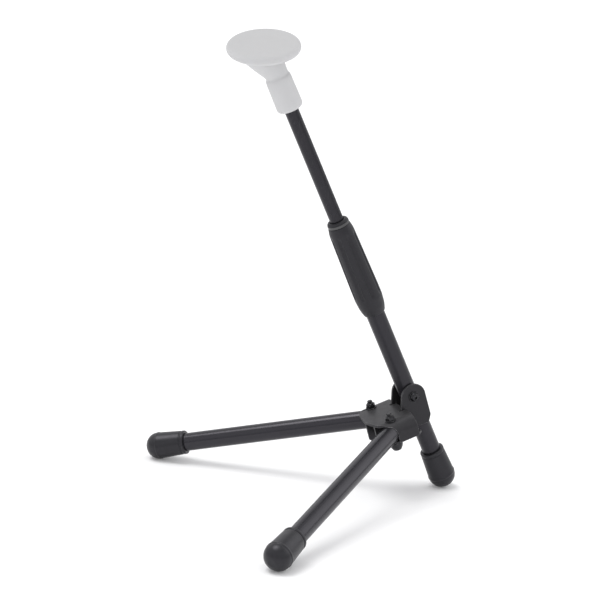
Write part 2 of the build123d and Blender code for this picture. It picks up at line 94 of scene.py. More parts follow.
LEFT_LEG = local_frame(LEFT_PIN, leg_direction(-1), PLATE_UP)
RIGHT_LEG = local_frame(RIGHT_PIN, leg_direction(1), PLATE_UP)
LEFT_BOLT = local_frame(LEFT_PIN, PLATE_UP, ACROSS)
RIGHT_BOLT = local_frame(RIGHT_PIN, PLATE_UP, ACROSS)
POST = local_frame(CLEVIS, POST_UP, ACROSS)
TAIL = local_frame(CLEVIS, -POST_UP, ACROSS)
CLEVIS_BOLT = local_frame(CLEVIS, ACROSS, PLATE_BACK)
DISC = local_frame(DISC_MIDDLE, DISC_UP, DISC_UP.cross(POST_UP))


class Span:
    """How far a node reaches along a local frame's Z axis, and out from it, in millimetres.

    Only points nearer than within to the axis count, and only those nearer than level to the
    frame's XY plane.
    """

    def __init__(self, node, place, within=None, level=None):
        back = place.inverted()
        points = [back @ vertex.co for vertex in frame["nodes"][node].data.vertices]
        if within is not None:
            points = [point for point in points if point.xy.length < within]
        if level is not None:
            points = [point for point in points if abs(point.z) < level]
        self.low = min(point.z for point in points)
        self.high = max(point.z for point in points)
        self.radius = max(point.xy.length for point in points)


# ---- sizes and colours that a user would change ---------------------------------
class SaxStandShape(PropertyGroup):
    sheet_edge: FloatProperty(
        name="Sheet edge",
        description="Rounding of the pressed steel's cut edges",
        default=0.0006,
        min=0.0001,
        max=0.001,
        precision=5,
        unit="LENGTH",
    )
    grip_flutes: IntProperty(
        name="Grip flutes",
        description="Number of long flutes round the twist grip",
        default=8,
        min=3,
        max=16,
    )
    flute_depth: FloatProperty(
        name="Flute depth",
        description="How deep each flute is cut into the grip",
        default=0.0014,
        min=0.0002,
        max=0.0015,
        precision=5,
        unit="LENGTH",
    )
    foot_groove: FloatProperty(
        name="Foot groove",
        description="Depth of the ring groove behind each foot's lip",
        default=0.0006,
        min=0.0001,
        max=0.0012,
        precision=5,
        unit="LENGTH",
    )


class SaxStandColours(PropertyGroup):
    paint: FloatVectorProperty(
        name="Paint",
        description="Black paint of the tubes",
        default=(0.0102, 0.01, 0.0125),
        min=0.0,
        max=1.0,
        subtype="COLOR",
    )
    powder: FloatVectorProperty(
        name="Powder coat",
        description="Satin coat of the hub plates",
        default=(0.019, 0.019, 0.02),
        min=0.0,
        max=1.0,
        subtype="COLOR",
    )
    rubber: FloatVectorProperty(
        name="Rubber",
        description="Feet and twist grip",
        default=(0.014, 0.0145, 0.016),
        min=0.0,
        max=1.0,
        subtype="COLOR",
    )
    zinc: FloatVectorProperty(
        name="Dark zinc",
        description="Bolts, nuts and washers",
        default=(0.034, 0.034, 0.037),
        min=0.0,
        max=1.0,
        subtype="COLOR",
    )
    peg: FloatVectorProperty(
        name="Peg",
        description="Soft light grey peg that carries the horn",
        default=(0.56, 0.56, 0.565),
        min=0.0,
        max=1.0,
        subtype="COLOR",
    )


class SaxStandStage(PropertyGroup):
    azimuth: FloatProperty(
        name="Azimuth",
        description="Camera's turn round the stand; 0 looks along +Y",
        default=math.radians(66.3),
        subtype="ANGLE",
    )
    elevation: FloatProperty(
        name="Elevation",
        description="Camera's height above the horizon",
        default=math.radians(13.6),
        subtype="ANGLE",
    )
    roll: FloatProperty(
        name="Roll",
        description="Camera's lean to one side",
        default=math.radians(2.5),
        subtype="ANGLE",
    )
    distance: FloatProperty(
        name="Distance",
        description="From the camera to the point that it looks at",
        default=2.2,
        min=0.5,
        unit="LENGTH",
    )
    aim: FloatVectorProperty(
        name="Aim",
        description="The point that the camera looks at",
        default=(-0.0792, -0.0142, 0.2194),
        subtype="XYZ",
        unit="LENGTH",
    )
    lens: FloatProperty(
        name="Lens",
        description="Focal length for a 36 mm sensor, in millimetres",
        default=111.9,
        min=20.0,
    )
    key_power: FloatProperty(
        name="Overhead light",
        description="Strength of the wide soft light over the stand",
        default=1.25,
        min=0.0,
    )
    fill_power: FloatProperty(
        name="Fill light",
        description="Strength of the soft light from behind the hub",
        default=0.42,
        min=0.0,
    )
    room: FloatProperty(
        name="Room light",
        description="Strength of the soft light from all round",
        default=1.0,
        min=0.0,
    )


def shape():
    """The sizes that a user would change."""
    return bpy.context.scene.sax_stand_shape


def colours():
    """The colours that a user would change."""
    return bpy.context.scene.sax_stand_colours


# ---- modelling --------------------------------------------------------------------
def wire(mesh, corners, closed=False):
    """A bent wire through (radius, height, rounding) corners, with its corners rounded."""
    points = [mesh.verts.new((radius, 0, height)) for radius, height, _ in corners]
    for first, second in zip(points, points[1:]):
        mesh.edges.new((first, second))
    if closed:
        mesh.edges.new((points[-1], points[0]))
    for point, (_, _, rounding) in zip(points, corners):
        if rounding:
            bmesh.ops.bevel(
                mesh,
                geom=[point],
                offset=rounding,
                offset_type="OFFSET",
                segments=max(3, round(2 * rounding)),
                profile=0.5,
                affect="VERTICES",
                material=-1,
            )


def spin_round(mesh, steps):
    """Turn the wire into a closed skin about the Z axis."""
    same_point = 0.0005
    bmesh.ops.spin(
        mesh,
        geom=mesh.verts[:] + mesh.edges[:],
        cent=(0, 0, 0),
        axis=(0, 0, 1),
        angle=FULL_TURN,
        steps=steps,
        use_merge=True,
        use_duplicate=False,
    )
    bmesh.ops.remove_doubles(mesh, verts=mesh.verts, dist=same_point)
    bmesh.ops.recalc_face_normals(mesh, faces=mesh.faces)


def turned(corners, steps, closed=False):
    """A turned shape in millimetres, still at its local origin."""
    mesh = bmesh.new()
    wire(mesh, corners, closed)
    spin_round(mesh, steps)
    return mesh


def add_shape(mesh, other, place=None):
    """Put another shape's skin into this one."""
    if place is not None:
        bmesh.ops.transform(other, matrix=place, verts=other.verts)
    sheet = bpy.data.meshes.new("spare")
    other.to_mesh(sheet)
    other.free()
    mesh.from_mesh(sheet)
    bpy.data.meshes.remove(sheet)


def new_piece(name, mesh, crease=CREASE):
    """Make the finished shape an object at the origin, smooth between its creases."""
    data = bpy.data.meshes.new(name)
    mesh.to_mesh(data)
    mesh.free()
    data.shade_smooth()
    data.set_sharp_from_angle(angle=crease)
    piece = bpy.data.objects.new(name, data)
    bpy.context.scene.collection.objects.link(piece)
    return piece


def placed(name, places, build):
    """One piece from a local shape, put at each of its places."""
    whole = bmesh.new()
    for place in places:
        add_shape(whole, build(), place)
    return new_piece(name, whole)


def softened(name, node, edge):
    """A copy of the node's mesh, merged, with its cut edges rounded."""
    same_point = 2e-6
    flat_enough = math.radians(0.5)
    copy = frame["nodes"][node].data.copy()
    for layer in ("custom_normal", "sharp_edge", "sharp_face"):
        if layer in copy.attributes:
            copy.attributes.remove(copy.attributes[layer])
    mesh = bmesh.new()
    mesh.from_mesh(copy)
    bpy.data.meshes.remove(copy)
    bmesh.ops.remove_doubles(mesh, verts=mesh.verts, dist=same_point)
    bmesh.ops.dissolve_limit(
        mesh, angle_limit=flat_enough, verts=mesh.verts, edges=mesh.edges
    )
    piece = new_piece(name, mesh)
    rounding = piece.modifiers.new("Rounded edges", "BEVEL")
    rounding.width = edge
    rounding.segments = 3
    rounding.limit_method = "ANGLE"
    rounding.angle_limit = CREASE
    rounding.harden_normals = True
    return piece


def hexagon_prism(flats, low, high):
    """A hexagon bar end whose upper corners are cut back, as on a nut."""
    mesh = bmesh.new()
    bmesh.ops.create_circle(
        mesh, cap_ends=True, segments=6, radius=flats / math.sqrt(3),
        matrix=Matrix.Translation((0, 0, low)),
    )
    raised = bmesh.ops.extrude_face_region(mesh, geom=mesh.faces[:])
    upper = [item for item in raised["geom"] if isinstance(item, bmesh.types.BMVert)]
    bmesh.ops.translate(mesh, vec=(0, 0, high - low), verts=upper)
    bmesh.ops.recalc_face_normals(mesh, faces=mesh.faces)
    cuts = 12
    slope = math.radians(30)
    for index in range(cuts):
        angle = FULL_TURN * index / cuts
        outward = Vector((math.cos(angle), math.sin(angle), 0))
        cut = bmesh.ops.bisect_plane(
            mesh,
            geom=mesh.verts[:] + mesh.edges[:] + mesh.faces[:],
            dist=1e-5,
            plane_co=outward * (flats / 2) + Vector((0, 0, high)),
            plane_no=outward * math.sin(slope) + Vector((0, 0, math.cos(slope))),
            clear_outer=True,
        )
        open_edges = [
            item for item in cut["geom_cut"]
            if isinstance(item, bmesh.types.BMEdge) and item.is_boundary
        ]
        if len(open_edges) > 2:
            bmesh.ops.holes_fill(mesh, edges=open_edges, sides=0)
    return mesh


def socket_head(corners, hexagon, depth, steps=72):
    """A turned bolt whose first corner is the open rim of a hexagon socket."""
    mesh = turned(corners, steps=steps)
    rim = [edge for edge in mesh.edges if edge.is_boundary]
    rim_height = corners[0][1]
    bmesh.ops.create_circle(
        mesh, cap_ends=False, segments=6, radius=hexagon,
        matrix=Matrix.Translation((0, 0, rim_height)),
    )
    hexagon_edges = [edge for edge in mesh.edges if edge.is_wire]
    bmesh.ops.subdivide_edges(mesh, edges=hexagon_edges, cuts=steps // 6 - 1)
    hexagon_edges = [edge for edge in mesh.edges if edge.is_wire]
    bmesh.ops.bridge_loops(mesh, edges=rim + hexagon_edges)
    inner = [edge for edge in mesh.edges if edge.is_boundary]
    walls = bmesh.ops.extrude_edge_only(mesh, edges=inner)
    floor_verts = [item for item in walls["geom"] if isinstance(item, bmesh.types.BMVert)]
    bmesh.ops.translate(mesh, vec=(0, 0, depth), verts=floor_verts)
    floor_edges = [edge for edge in mesh.edges if edge.is_boundary]
    bmesh.ops.edgeloop_fill(mesh, edges=floor_edges)
    bmesh.ops.recalc_face_normals(mesh, faces=mesh.faces)
    return mesh


def thread(radius, low, high, pitch, depth):
    """Corners of a threaded end: ridges up to the top, then a chamfer."""
    corners = []
    height = low
    while height + 2 * pitch < high:
        corners.append((radius, height, 0))
        corners.append((radius - depth, height + pitch / 2, 0))
        height += pitch
    corners.append((radius, height, 0))
    corners.append((radius, high - depth, 0))
    corners.append((radius - depth, high, 0))
    corners.append((0, high, 0))
    return corners


# ---- finishes ---------------------------------------------------------------------
def add_node(tree, kind, inputs=None, **settings):
    """A shader node with its settings, its input values and its incoming links."""
    made = tree.nodes.new(kind)
    for key, value in settings.items():
        setattr(made, key, value)
    for key, value in (inputs or {}).items():
        if isinstance(value, bpy.types.NodeSocket):
            tree.links.new(value, made.inputs[key])
        else:
            made.inputs[key].default_value = value
    return made


def new_group(name, inputs, outputs):
    """An empty node group with named float inputs and outputs."""
    tree = bpy.data.node_groups.new(name, "ShaderNodeTree")
    for label, default in inputs.items():
        socket = tree.interface.new_socket(label, in_out="INPUT", socket_type="NodeSocketFloat")
        socket.default_value = default
    for label in outputs:
        tree.interface.new_socket(label, in_out="OUTPUT", socket_type="NodeSocketFloat")
    entry = tree.nodes.new("NodeGroupInput")
    leave = tree.nodes.new("NodeGroupOutput")
    return tree, entry, leave


def grain_group():
    """Fine pits with a slower mottle over them."""
    tree, entry, leave = new_group(
        "Grain", {"Fine Scale": 900.0, "Mottle Scale": 60.0}, ("Mottle", "Height")
    )
    coords = add_node(tree, "ShaderNodeTexCoord")
    fine = add_node(
        tree, "ShaderNodeTexNoise",
        {"Vector": coords.outputs["Object"], "Scale": entry.outputs["Fine Scale"],
         "Detail": 3.0, "Roughness": 0.55},
    )
    slow = add_node(
        tree, "ShaderNodeTexNoise",
        {"Vector": coords.outputs["Object"], "Scale": entry.outputs["Mottle Scale"],
         "Detail": 5.0, "Roughness": 0.6, "Distortion": 0.4},
    )
    tree.links.new(slow.outputs[0], leave.inputs["Mottle"])
    tree.links.new(fine.outputs[0], leave.inputs["Height"])
    return tree


def edge_wear_and_highlight_group():
    """Broken-up bright line along the sheet's outer edges: partly wear, and on the powder coat partly a painted
    highlight where the edges catch the light.
    """
    tree, entry, leave = new_group("Edge Wear and Highlight", {"Reach": 0.0007, "Amount": 0.5}, ("Mask",))
    coords = add_node(tree, "ShaderNodeTexCoord")
    rounded = add_node(tree, "ShaderNodeBevel", {"Radius": entry.outputs["Reach"]}, samples=4)
    plain = add_node(tree, "ShaderNodeNewGeometry")
    facing = add_node(
        tree, "ShaderNodeVectorMath",
        {0: rounded.outputs[0], 1: plain.outputs["True Normal"]}, operation="DOT_PRODUCT",
    )
    edge = add_node(
        tree, "ShaderNodeMapRange",
        {"Value": facing.outputs["Value"], "From Min": 0.995, "From Max": 0.9,
         "To Min": 0.0, "To Max": 1.0},
    )
    patches = add_node(
        tree, "ShaderNodeTexNoise",
        {"Vector": coords.outputs["Object"], "Scale": 240.0, "Detail": 6.0, "Roughness": 0.7},
    )
    broken = add_node(
        tree, "ShaderNodeMapRange",
        {"Value": patches.outputs[0], "From Min": 0.42, "From Max": 0.62,
         "To Min": 0.0, "To Max": 1.0},
    )
    both = add_node(
        tree, "ShaderNodeMath", {0: edge.outputs[0], 1: broken.outputs[0]}, operation="MULTIPLY"
    )
    share = add_node(
        tree, "ShaderNodeMath", {0: both.outputs[0], 1: entry.outputs["Amount"]},
        operation="MULTIPLY",
    )
    tree.links.new(share.outputs[0], leave.inputs["Mask"])
    return tree


def dust_and_top_shade_group():
    """A colour laid on what faces up: a faint film of dust on most finishes, and on the peg a painted shade that
    darkens its top.
    """
    tree, entry, leave = new_group("Dust and Top Shade", {"Amount": 0.1, "Thinnest": 0.25}, ("Mask",))
    coords = add_node(tree, "ShaderNodeTexCoord")
    plain = add_node(tree, "ShaderNodeNewGeometry")
    parts = add_node(tree, "ShaderNodeSeparateXYZ", {0: plain.outputs["Normal"]})
    upward = add_node(
        tree, "ShaderNodeMapRange",
        {"Value": parts.outputs["Z"], "From Min": 0.2, "From Max": 1.0,
         "To Min": 0.0, "To Max": 1.0},
    )
    cloud = add_node(
        tree, "ShaderNodeTexNoise",
        {"Vector": coords.outputs["Object"], "Scale": 130.0, "Detail": 8.0, "Roughness": 0.75},
    )
    speckle = add_node(
        tree, "ShaderNodeMapRange",
        {"Value": cloud.outputs[0], "From Min": 0.35, "From Max": 0.75,
         "To Min": entry.outputs["Thinnest"], "To Max": 1.0},
    )
    both = add_node(
        tree, "ShaderNodeMath", {0: upward.outputs[0], 1: speckle.outputs[0]},
        operation="MULTIPLY",
    )
    share = add_node(
        tree, "ShaderNodeMath", {0: both.outputs[0], 1: entry.outputs["Amount"]},
        operation="MULTIPLY",
    )
    tree.links.new(share.outputs[0], leave.inputs["Mask"])
    return tree


def rub_group():
    """Long faint rub lines that run up the post."""
    tree, entry, leave = new_group("Rub Lines", {"Amount": 0.3}, ("Mask",))
    coords = add_node(tree, "ShaderNodeTexCoord")
    lean = POST_UP.angle(Vector((0, 0, 1)))
    along = add_node(
        tree, "ShaderNodeMapping",
        {"Vector": coords.outputs["Object"], "Rotation": (-lean, 0, 0),
         "Scale": (900.0, 900.0, 14.0)},
    )
    lines = add_node(
        tree, "ShaderNodeTexNoise",
        {"Vector": along.outputs[0], "Scale": 1.0, "Detail": 2.0, "Roughness": 0.5},
    )
    sparse = add_node(
        tree, "ShaderNodeMapRange",
        {"Value": lines.outputs[0], "From Min": 0.58, "From Max": 0.72,
         "To Min": 0.0, "To Max": 1.0},
    )
    share = add_node(
        tree, "ShaderNodeMath", {0: sparse.outputs[0], 1: entry.outputs["Amount"]},
        operation="MULTIPLY",
    )
    tree.links.new(share.outputs[0], leave.inputs["Mask"])
    return tree


def place_group(tree, group, values):
    """Put a node group into a material with its own values."""
    made = tree.nodes.new("ShaderNodeGroup")
    made.node_tree = bpy.data.node_groups[group]
    for key, value in values.items():
        made.inputs[key].default_value = value
    return made


def blend_colour(tree, mask, first, second):
    """A colour that goes from first to second as the mask rises."""
    mix = tree.nodes.new("ShaderNodeMix")
    mix.data_type = "RGBA"
    mix.clamp_factor = True
    tree.links.new(mask, mix.inputs["Factor"])
    for name, value in (("A", first), ("B", second)):
        socket = [item for item in mix.inputs if item.name == name and item.type == "RGBA"][0]
        if isinstance(value, bpy.types.NodeSocket):
            tree.links.new(value, socket)
        else:
            socket.default_value = (*value, 1.0)
    return [item for item in mix.outputs if item.type == "RGBA"][0]


def shade(colour, factor):
    """The colour, darker or lighter by a factor."""
    return tuple(min(1.0, channel * factor) for channel in colour)


class Finish:
    """One surface finish: a Principled shader fed by grain, wear and dust, and on some finishes a painted edge
    highlight and painted top shade.

    The grain is its fine scale, its mottle scale and the bump's strength.
    """

    def __init__(
        self, name, colour, roughness, grain,
        metallic=0.0, specular=0.5, spread=0.12, tint=(1.0, 1.0, 1.0),
    ):
        fine, mottle, bump = grain
        contrast = 1.6 * spread
        self.material = bpy.data.materials.new(name)
        self.material.use_nodes = True
        self.material.diffuse_color = (*colour, 1.0)
        self.tree = self.material.node_tree
        self.shader = self.tree.nodes["Principled BSDF"]
        self.shader.inputs["Metallic"].default_value = metallic
        self.shader.inputs["Specular IOR Level"].default_value = specular
        self.shader.inputs["Specular Tint"].default_value = (*tint, 1.0)
        self.grain = place_group(self.tree, "Grain", {"Fine Scale": fine, "Mottle Scale": mottle})
        self.colour = blend_colour(
            self.tree, self.grain.outputs["Mottle"],
            shade(colour, 1.0 - contrast), shade(colour, 1.0 + contrast),
        )
        self.rough = add_node(
            self.tree, "ShaderNodeMapRange",
            {"Value": self.grain.outputs["Mottle"], "From Min": 0.25, "From Max": 0.75,
             "To Min": roughness - spread / 2, "To Max": roughness + spread / 2},
        ).outputs[0]
        if bump:
            relief = add_node(
                self.tree, "ShaderNodeBump",
                {"Height": self.grain.outputs["Height"], "Strength": bump, "Distance": 0.0002},
            )
            self.tree.links.new(relief.outputs[0], self.shader.inputs["Normal"])

    def layer(self, group, values, colour, roughness):
        """Lay a layer over what is there: dust, wear, rub marks, a painted edge highlight, painted top shade."""
        over = place_group(self.tree, group, values)
        self.colour = blend_colour(self.tree, over.outputs["Mask"], self.colour, colour)
        self.rough = add_node(
            self.tree, "ShaderNodeMix",
            {"Factor": over.outputs["Mask"], "A": self.rough, "B": roughness},
            data_type="FLOAT",
        ).outputs[0]
        return self

    def done(self):
        """Join the finished colour and roughness to the shader."""
        self.tree.links.new(self.colour, self.shader.inputs["Base Color"])
        self.tree.links.new(self.rough, self.shader.inputs["Roughness"])


def make_finishes():
    """Build the node groups and then every finish, once."""
    grain_group()
    edge_wear_and_highlight_group()
    dust_and_top_shade_group()
    rub_group()
    paint = colours().paint
    powder = colours().powder
    rubber = colours().rubber
    cool = (0.94, 0.91, 1.0)
    Finish("Powder Coat", powder, 0.4, (1400.0, 70.0, 0.25), specular=0.31, tint=cool).layer(
        # Lighter edges: partly wear, partly a painted highlight along the sheet's cut edges.
        "Edge Wear and Highlight", {"Reach": 0.001, "Amount": 0.8}, (0.2, 0.2, 0.205), 0.32
    ).layer("Dust and Top Shade", {"Amount": 0.14}, (0.3, 0.3, 0.3), 0.8).done()
    Finish("Tube Paint", paint, 0.24, (520.0, 45.0, 0.05), spread=0.08, tint=cool).layer(
        "Dust and Top Shade", {"Amount": 0.03}, (0.3, 0.3, 0.3), 0.7
    ).done()
    Finish(
        "Post Paint", paint, 0.3, (520.0, 45.0, 0.06), specular=0.42, spread=0.08, tint=cool
    ).layer("Rub Lines", {"Amount": 0.12}, (0.05, 0.05, 0.052), 0.42).done()
    Finish(
        "Rod Paint", shade(paint, 0.85), 0.28, (620.0, 60.0, 0.05),
        specular=0.38, spread=0.08, tint=cool,
    ).layer("Rub Lines", {"Amount": 0.3}, (0.06, 0.06, 0.062), 0.4).done()
    Finish("Dark Zinc", colours().zinc, 0.24, (1600.0, 160.0, 0.12), metallic=0.85).layer(
        "Edge Wear and Highlight", {"Reach": 0.0004, "Amount": 0.7}, (0.4, 0.4, 0.4), 0.3
    ).done()
    Finish("Black Nylon", (0.02, 0.02, 0.021), 0.5, (1200.0, 90.0, 0.15)).done()
    Finish("Grey Nylon", (0.06, 0.06, 0.062), 0.42, (1200.0, 90.0, 0.1), spread=0.06).done()
    Finish(
        "Foot Rubber", shade(rubber, 0.75), 0.36, (1700.0, 110.0, 0.16), specular=0.42, tint=cool
    ).layer("Dust and Top Shade", {"Amount": 0.03}, (0.25, 0.25, 0.25), 0.8).done()
    Finish(
        "Grip Rubber", shade(rubber, 0.7), 0.48, (1900.0, 130.0, 0.35), specular=0.42, tint=cool
    ).layer("Dust and Top Shade", {"Amount": 0.04}, (0.22, 0.22, 0.22), 0.85).done()
    Finish(
        "Peg Rubber", colours().peg, 0.62, (1500.0, 38.0, 0.12), specular=0.35, spread=0.02
    ).layer(
        # On the peg this layer is painted shade: a darker grey over the upward faces, so that the overhead light
        # does not leave the top too bright.
        "Dust and Top Shade", {"Amount": 0.55, "Thinnest": 0.85}, (0.38, 0.38, 0.38), 0.8
    ).done()


def coat(thing, finish):
    """Give a piece or a node one finish all over."""
    thing.data.materials.clear()
    thing.data.materials.append(bpy.data.materials[finish])


def coat_node(node, finish):
    """Put one finish on a node that is shown as it is."""
    for slot in frame["nodes"][node].material_slots:
        slot.material = bpy.data.materials[finish]


# ---- hub ----------------------------------------------------------------------------
class SAXSTAND_OT_hub(Operator):
    """Make the hub's pressed cover, its two cheeks and its base plate"""

    bl_idname = "saxstand.hub"
    bl_label = "Hub"

    def execute(self, context):
        edge = shape().sheet_edge
        for node in ("hub_cover", "cheek_left", "cheek_right", "base_plate"):
            plate = softened(f"{node}_skin", node, edge)
            coat(plate, "Powder Coat")
            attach(plate, "hub")
            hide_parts(node)
        return {"FINISHED"}


# ---- fasteners ------------------------------------------------------------------------
def dome_bolt(head_low, seat, head_radius, shank_radius, thread_low, top):
    """A bolt with a domed head at the bottom and its thread at the top."""
    height = seat - head_low
    hexagon = head_radius * 0.4
    socket_rim = head_radius * 0.46
    crown = head_radius * 0.62
    shoulder = head_radius * 0.96
    corners = [
        (socket_rim, head_low, 0),
        (crown, head_low, 0.4),
        (shoulder, head_low + height * 0.52, head_radius * 0.25),
        (head_radius, seat - height * 0.12, 0.3),
        (head_radius, seat, 0.2),
        (shank_radius, seat, 0),
    ]
    corners += thread(shank_radius, thread_low, top, pitch=1.0, depth=0.5)
    return socket_head(corners, hexagon, depth=height * 0.45)


def capped_nut(flats, seat, top):
    """A hexagon lock nut: chamfered body with a low round collar."""
    body_top = seat + (top - seat) * 0.74
    collar_low = body_top - 0.5
    collar_radius = flats * 0.42
    recess_radius = flats * 0.28
    recess_low = top - 0.6
    nut = hexagon_prism(flats, seat, body_top)
    collar = turned(
        [
            (0, collar_low, 0),
            (collar_radius, collar_low, 0),
            (collar_radius, top, 0.7),
            (recess_radius, top, 0.2),
            (recess_radius, recess_low, 0),
            (0, recess_low, 0),
        ],
        steps=64,
    )
    add_shape(nut, collar)
    return nut


def flat_washer(node, place, within, hole, low=None, high=None):
    """A washer as wide as the node, and as thick unless low and high say otherwise."""
    span = Span(node, place, within)
    low = span.low if low is None else low
    high = span.high if high is None else high
    return turned(
        [
            (hole, low, 0.15),
            (span.radius, low, 0.2),
            (span.radius, high, 0.35),
            (hole, high, 0.25),
        ],
        closed=True,
        steps=72,
    )


class SAXSTAND_OT_fasteners(Operator):
    """Make the leg bolts, the clevis bolt, and their nuts and washers"""

    bl_idname = "saxstand.fasteners"
    bl_label = "Bolts, nuts and washers"

    def execute(self, context):
        near = 12.0
        washer_clear = 0.2
        leg_bolt = Span("leg_pivot_bolts", LEFT_BOLT, near)
        leg_nut = Span("leg_pivot_nuts", LEFT_BOLT, near)
        leg_washer = Span("leg_pivot_washers", LEFT_BOLT, near)
        base = Span("base_plate", LEFT_BOLT, near)
        leg_flats = leg_nut.radius * math.sqrt(3)
        shank = 3.0
        bolts = placed(
            "leg_bolts",
            (LEFT_BOLT, RIGHT_BOLT),
            lambda: dome_bolt(
                leg_bolt.low, base.low, leg_bolt.radius, shank, leg_nut.low, leg_bolt.high
            ),
        )
        nuts = placed(
            "leg_nuts",
            (LEFT_BOLT, RIGHT_BOLT),
            lambda: capped_nut(leg_flats, leg_nut.low, leg_nut.high),
        )
        washers = placed(
            "leg_washers",
            (LEFT_BOLT, RIGHT_BOLT),
            lambda: flat_washer("leg_pivot_washers", LEFT_BOLT, near, shank + washer_clear),
        )
        bolt_span = Span("post_pivot_bolt", CLEVIS_BOLT)
        nut_span = Span("post_pivot_nut", CLEVIS_BOLT)
        washer_span = Span("post_pivot_washers", CLEVIS_BOLT)
        facing_back = CLEVIS_BOLT @ Matrix.Rotation(math.pi, 4, "Y")
        clevis_shank = 4.0
        clevis_bolt = placed(
            "clevis_bolt",
            (facing_back,),
            lambda: dome_bolt(
                -bolt_span.high, -washer_span.high, bolt_span.radius, clevis_shank,
                -nut_span.high, -bolt_span.low,
            ),
        )
        clevis_nut = placed(
            "clevis_nut",
            (facing_back,),
            lambda: capped_nut(nut_span.radius * math.sqrt(3), -nut_span.high, -nut_span.low),
        )
        sheet = leg_washer.high - leg_washer.low
        clevis_washers = placed(
            "clevis_washers",
            (CLEVIS_BOLT, facing_back),
            lambda: flat_washer(
                "post_pivot_washers", CLEVIS_BOLT, None, clevis_shank + washer_clear,
                washer_span.high - sheet, washer_span.high,
            ),
        )
        for piece, node in (
            (bolts, "leg_pivot_bolts"),
            (nuts, "leg_pivot_nuts"),
            (washers, "leg_pivot_washers"),
            (clevis_bolt, "post_pivot_bolt"),
            (clevis_nut, "post_pivot_nut"),
            (clevis_washers, "post_pivot_washers"),
        ):
            coat(piece, "Dark Zinc")
            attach(piece, "hub")
            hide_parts(node)
        return {"FINISHED"}


# ---- tubes ------------------------------------------------------------------------------
class SAXSTAND_OT_tubes(Operator):
    """Paint the legs, the post and the rod, and finish what is inside them"""

    bl_idname = "saxstand.tubes"
    bl_label = "Tubes and rod"

    def execute(self, context):
        for node in ("leg_left_tube", "leg_right_tube"):
            coat_node(node, "Tube Paint")
        coat_node("post_tube", "Post Paint")
        coat_node("upper_rod", "Rod Paint")
        for node in (
            "leg_left_plug",
            "leg_right_plug",
            "post_pivot_bush",
            "thread_sleeve",
            "grip_core",
            "rod_guide",
            "rod_plug",
            "peg_socket",
        ):
            coat_node(node, "Black Nylon")
        return {"FINISHED"}


# ---- feet -------------------------------------------------------------------------------
def rubber_foot(node, tube, place):
    """A moulded foot: lip, ring groove, widening body, raised rim and dome."""
    span = Span(node, place)
    tube_end = Span(tube, place).high
    tube_radius = 11.0
    widest = span.radius
    lip_radius = widest - 2.1
    groove_radius = lip_radius - shape().foot_groove / MM
    groove_low = span.low + 3.6
    rim_radius = widest - 0.05
    dome_radius = widest - 0.45
    dome_low = span.high - widest
    dome_high = span.high - 0.45
    tread = span.high - 0.9
    corners = [
        (0, tube_end, 0),
        (tube_radius, tube_end, 0),
        (tube_radius, span.low, 0.4),
        (lip_radius, span.low, 1.1),
        (lip_radius + 0.1, groove_low, 0.5),
        (groove_radius, groove_low + 0.5, 0.3),
        (groove_radius, groove_low + 1.4, 0.3),
        (lip_radius + 0.1, groove_low + 1.9, 0.5),
        (widest - 0.5, dome_low - 1.6, 1.0),
        (rim_radius, dome_low - 1.0, 0.3),
        (rim_radius, dome_low + 0.4, 0.3),
        (dome_radius, dome_low + 1.0, 0.3),
        (dome_radius, dome_high, widest - 1.6),
        (0, dome_high, 0),
    ]
    mesh = turned(corners, steps=128)
    for vert in mesh.verts:
        vert.co.z = min(vert.co.z, tread)
    return mesh


class SAXSTAND_OT_feet(Operator):
    """Make the three rubber feet"""

    bl_idname = "saxstand.feet"
    bl_label = "Rubber feet"

    def execute(self, context):
        for name, node, tube, place, body in (
            ("foot_left", "leg_left_foot", "leg_left_tube", LEFT_LEG, "leg_left"),
            ("foot_right", "leg_right_foot", "leg_right_tube", RIGHT_LEG, "leg_right"),
            ("foot_rear", "rear_foot", "post_tube", TAIL, "post"),
        ):
            foot = placed(name, (place,), lambda: rubber_foot(node, tube, place))
            coat(foot, "Foot Rubber")
            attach(foot, body)
            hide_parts(node)
        return {"FINISHED"}


# ---- twist grip ---------------------------------------------------------------------------
def smooth_step(value):
    """From 0 to 1 with level ends, and held there outside them."""
    value = max(0.0, min(1.0, value))
    return value * value * (3 - 2 * value)


def fluted_grip():
    """The twist grip's rubber: a turned barrel with long flutes and a smooth bottom collar."""
    span = Span("clutch_grip", POST)
    bore = 11.35
    top_bore = 11.0
    outer_skin = bore + 0.5
    widest = span.radius
    corners = [
        (bore, span.low, 0.3),
        (widest - 3.8, span.low, 0.8),
        (widest - 1.4, span.low + 8.0, 3.0),
        (widest - 0.2, span.low + 20.0, 0.6),
        (widest - 0.15, span.low + 28.0, 6.0),
        (widest - 1.8, span.high - 7.8, 2.5),
        (widest - 3.5, span.high, 0.8),
        (top_bore, span.high, 0.3),
        (top_bore, span.high - 3.0, 0),
        (bore, span.high - 3.2, 0),
    ]
    mesh = bmesh.new()
    wire(mesh, corners, closed=True)
    row = 1.3
    for edge in mesh.edges[:]:
        cuts = int(edge.calc_length() / row)
        outside = min(vert.co.x for vert in edge.verts) > outer_skin
        if cuts > 1 and outside:
            bmesh.ops.subdivide_edges(mesh, edges=[edge], cuts=cuts)
    spin_round(mesh, 256)
    flutes = shape().grip_flutes
    depth = shape().flute_depth / MM
    half_width = 2.8
    flute_low = span.low + 22.5
    flute_high = span.high - 8.0
    run_in = 4.0
    run_out = 9.0
    for vert in mesh.verts:
        radius = vert.co.xy.length
        if radius < outer_skin:
            continue
        part = math.atan2(vert.co.y, vert.co.x) * flutes / FULL_TURN
        offset = abs(part - round(part)) * FULL_TURN / flutes * radius
        bowl = 1.0 - (offset / half_width) ** 2
        ends = smooth_step((vert.co.z - flute_low) / run_in)
        ends *= smooth_step((flute_high - vert.co.z) / run_out)
        if bowl > 0 and ends > 0:
            vert.co.xy *= 1.0 - depth * bowl * ends / radius
    return mesh


